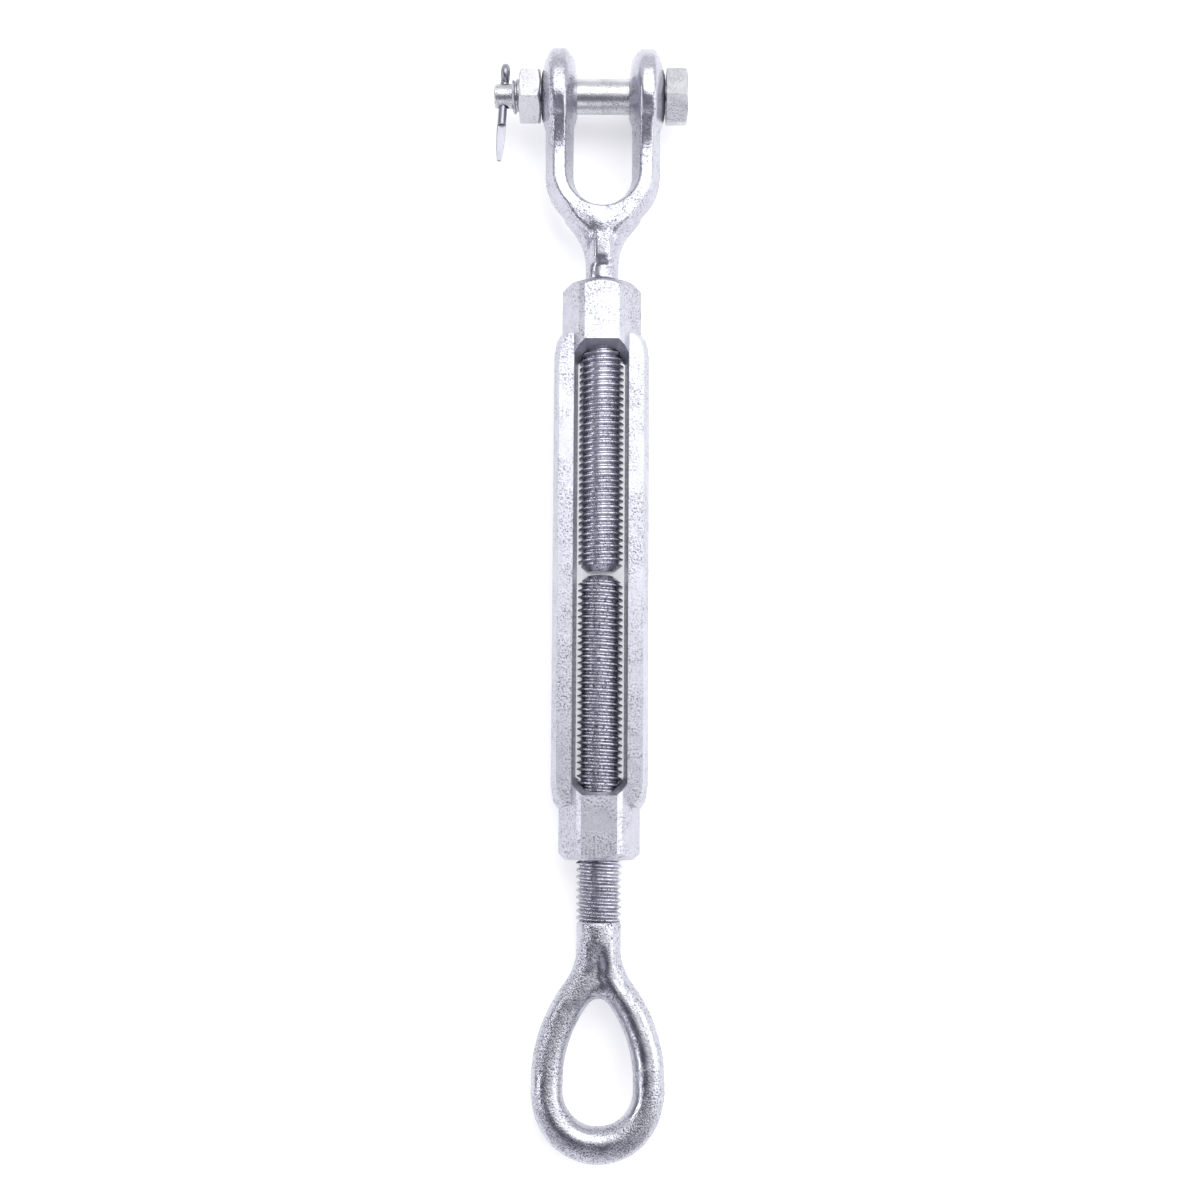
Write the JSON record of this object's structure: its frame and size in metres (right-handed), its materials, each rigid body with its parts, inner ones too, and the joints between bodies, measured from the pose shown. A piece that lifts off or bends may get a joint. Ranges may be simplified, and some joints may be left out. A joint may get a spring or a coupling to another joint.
{
  "type": "rigging turnbuckle",
  "caption": "Forged galvanised turnbuckle: an open screwed body draws a jaw with a clevis bolt and an eye together or apart on opposite-hand threads",
  "frame": {"origin": "middle of the clevis bolt, on the long axis between the two jaw ears", "axes": "+Y out through the open jaw along the long axis, the eye lies towards -Y; X along the clevis bolt with its head at +X; +Z square to the plane of the eye, up when the turnbuckle lies flat"},
  "size_m": [0.0701, 0.3948, 0.0356],
  "materials": {
    "body_zinc": "hot-dip galvanised drop forging, pitted scale under bright zinc",
    "jaw_zinc": "hot-dip galvanised drop forging with rolled thread",
    "eye_zinc": "hot-dip galvanised drop forging with rolled thread",
    "bolt_zinc": "galvanised hexagon bolt, smooth bright shank",
    "nut_zinc": "galvanised hexagon nut",
    "cotter_zinc": "bright zinc plated half-round wire"
  },
  "bodies": {
    "jaw": {"jaw_end": "jaw_zinc"},
    "end_ring": {"body_end_ring": "body_zinc"},
    "screw_body": {"turnbuckle_body": "body_zinc"},
    "eye": {"eye_end": "eye_zinc"},
    "bolt": {"clevis_bolt": "bolt_zinc"},
    "nut": {"clevis_nut": "nut_zinc"},
    "cotter": {"cotter_pin": "cotter_zinc"}
  },
  "joints": [
    {"name": "body_turn", "type": "hinge", "parent": "end_ring", "child": "screw_body", "pos_m": [0, -0.173, 0], "axis": [0, -1, 0], "range_deg": [0, 11880]},
    {"name": "body_travel", "type": "slide", "parent": "jaw", "child": "end_ring", "axis": [0, -1, 0], "range_m": [0, 0.07622]},
    {"name": "eye_travel", "type": "slide", "parent": "jaw", "child": "eye", "axis": [0, -1, 0], "range_m": [0, 0.15243]},
    {"name": "bolt_turn", "type": "hinge", "parent": "jaw", "child": "bolt", "pos_m": [0, 0, 0], "axis": [1, 0, 0], "continuous": true},
    {"name": "nut_turn", "type": "hinge", "parent": "bolt", "child": "nut", "pos_m": [-0.0265, 0, 0], "axis": [1, 0, 0], "range_deg": [-720, 0]},
    {"name": "cotter_pull", "type": "slide", "parent": "bolt", "child": "cotter", "axis": [0.0599, 0.9982, 0], "range_m": [0, 0.034]}
  ],
  "couplings": [
    {"joint": "body_travel", "follows": "body_turn", "m_per_rad": 0.00036749},
    {"joint": "eye_travel", "follows": "body_turn", "m_per_rad": 0.00073498}
  ]
}
